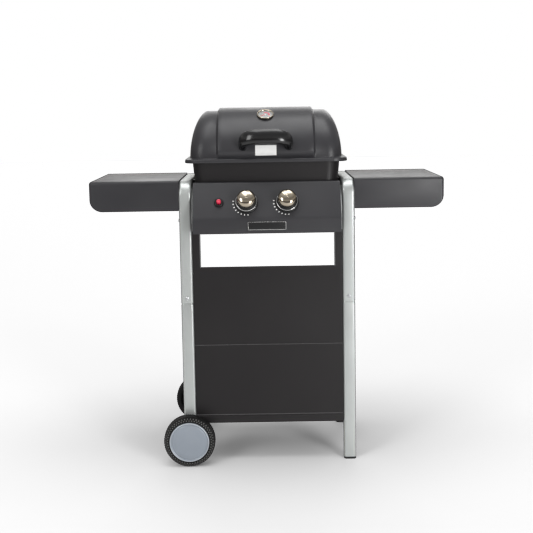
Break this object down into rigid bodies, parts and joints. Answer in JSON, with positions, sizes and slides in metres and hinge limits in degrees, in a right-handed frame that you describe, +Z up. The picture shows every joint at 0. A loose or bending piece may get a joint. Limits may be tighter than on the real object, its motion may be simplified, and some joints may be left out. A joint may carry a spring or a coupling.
{
  "type": "gas barbecue grill",
  "caption": "Gas barbecue on a wheeled cart: domed hinged lid, firebox with grates and burners, sloping console with knobs and an igniter, side shelves, front panel and a bottle shelf",
  "frame": {"origin": "middle of the footprint of the bounding box, on the ground", "axes": "+Z up, front (knobs and lid handle) faces -Y, +X to the right of someone in front of it, wheels on the -X side"},
  "size_m": [1.037, 0.4576, 1.054],
  "materials": {
    "leg_silver": "satin silver powder coat",
    "charcoal_paint": "satin charcoal grey powder coat",
    "black_paint": "satin black paint",
    "black_enamel": "black enamel",
    "tread_plastic": "matt moulded black",
    "hubcap_grey": "satin blue-grey",
    "zinc_steel": "zinc plated",
    "valve_brass": "turned brass",
    "burner_steel": "stainless sheet",
    "knob_black": "satin moulded black",
    "knob_chrome": "polished chrome",
    "button_red": "gloss red",
    "needle_red": "red enamel",
    "handle_gloss": "gloss black",
    "spark_ceramic": "white glazed ceramic",
    "dial_glass": "clear"
  },
  "bodies": {
    "cart": {"left_upper_frame": "leg_silver", "right_upper_frame": "leg_silver", "left_front_lower_leg": "leg_silver", "left_rear_lower_leg": "leg_silver", "right_front_lower_leg": "leg_silver", "right_rear_lower_leg": "leg_silver", "console": "charcoal_paint", "left_side_shelf": "charcoal_paint", "right_side_shelf": "charcoal_paint", "front_panel_upper": "black_paint", "front_panel_lower": "black_paint", "bottom_shelf": "black_paint", "rear_cross_bar": "black_paint", "left_shelf_bracket": "black_paint", "right_shelf_bracket": "black_paint", "firebox": "black_paint", "left_cooking_grate": "black_enamel", "right_cooking_grate": "black_enamel", "warming_rack": "black_enamel", "wheel_axle": "zinc_steel", "front_axle_nut": "zinc_steel", "rear_axle_nut": "zinc_steel", "gas_manifold": "zinc_steel", "left_hinge_pin": "zinc_steel", "right_hinge_pin": "zinc_steel", "left_valve_body": "valve_brass", "right_valve_body": "valve_brass", "left_burner": "burner_steel", "right_burner": "burner_steel", "flame_tamer": "burner_steel", "left_knob_bezel": "knob_black", "right_knob_bezel": "knob_black", "igniter_bezel": "knob_black", "igniter_body": "knob_black", "right_front_foot": "knob_black", "right_rear_foot": "knob_black", "badge_plate": "handle_gloss", "left_electrode": "spark_ceramic", "right_electrode": "spark_ceramic"},
    "lid": {"lid": "charcoal_paint", "lid_handle": "handle_gloss", "thermometer_case": "knob_chrome", "thermometer_lens": "dial_glass", "left_lid_hinge": "zinc_steel", "right_lid_hinge": "zinc_steel"},
    "thermometer_needle": {"thermometer_needle": "needle_red"},
    "left_plug": {"left_valve_plug": "valve_brass"},
    "right_plug": {"right_valve_plug": "valve_brass"},
    "left_knob": {"left_valve_stem": "zinc_steel", "left_knob_body": "knob_black", "left_knob_cap": "knob_chrome"},
    "right_knob": {"right_valve_stem": "zinc_steel", "right_knob_body": "knob_black", "right_knob_cap": "knob_chrome"},
    "igniter_button": {"igniter_button": "button_red"},
    "front_wheel": {"front_wheel": "tread_plastic", "front_hubcap": "hubcap_grey"},
    "rear_wheel": {"rear_wheel": "tread_plastic", "rear_hubcap": "hubcap_grey"},
    "drip_tray": {"drip_tray": "burner_steel"}
  },
  "joints": [
    {"name": "lid_hinge", "type": "hinge", "parent": "cart", "child": "lid", "pos_m": [0, 0.2063, 0.905], "axis": [-1, 0, 0], "range_deg": [0, 95]},
    {"name": "thermometer_turn", "type": "hinge", "parent": "lid", "child": "thermometer_needle", "pos_m": [0, -0.07252, 1.02995], "axis": [0, 0.5012, -0.8653], "range_deg": [0, 240], "stiffness_Nm_per_rad": 0.0002},
    {"name": "left_knob_turn", "type": "hinge", "parent": "cart", "child": "left_plug", "pos_m": [-0.0588, -0.1809, 0.7805], "axis": [0, -0.866, 0.5], "range_deg": [0, 180]},
    {"name": "left_knob_push", "type": "slide", "parent": "left_plug", "child": "left_knob", "axis": [0, 0.866, -0.5], "range_m": [0, 0.004], "stiffness_N_per_m": 1500, "springref_m": -0.003},
    {"name": "right_knob_turn", "type": "hinge", "parent": "cart", "child": "right_plug", "pos_m": [0.0588, -0.1809, 0.7805], "axis": [0, -0.866, 0.5], "range_deg": [0, 180]},
    {"name": "right_knob_push", "type": "slide", "parent": "right_plug", "child": "right_knob", "axis": [0, 0.866, -0.5], "range_m": [0, 0.004], "stiffness_N_per_m": 1500, "springref_m": -0.003},
    {"name": "igniter_push", "type": "slide", "parent": "cart", "child": "igniter_button", "axis": [0, 0.866, -0.5], "range_m": [0, 0.006], "stiffness_N_per_m": 1200, "springref_m": -0.003},
    {"name": "front_wheel_spin", "type": "hinge", "parent": "cart", "child": "front_wheel", "pos_m": [-0.239, -0.1857, 0.075], "axis": [0, 1, 0], "continuous": true},
    {"name": "rear_wheel_spin", "type": "hinge", "parent": "cart", "child": "rear_wheel", "pos_m": [-0.239, 0.2063, 0.075], "axis": [0, 1, 0], "continuous": true},
    {"name": "drip_tray_slide", "type": "slide", "parent": "cart", "child": "drip_tray", "axis": [0, 1, 0], "range_m": [0, 0.15]}
  ]
}
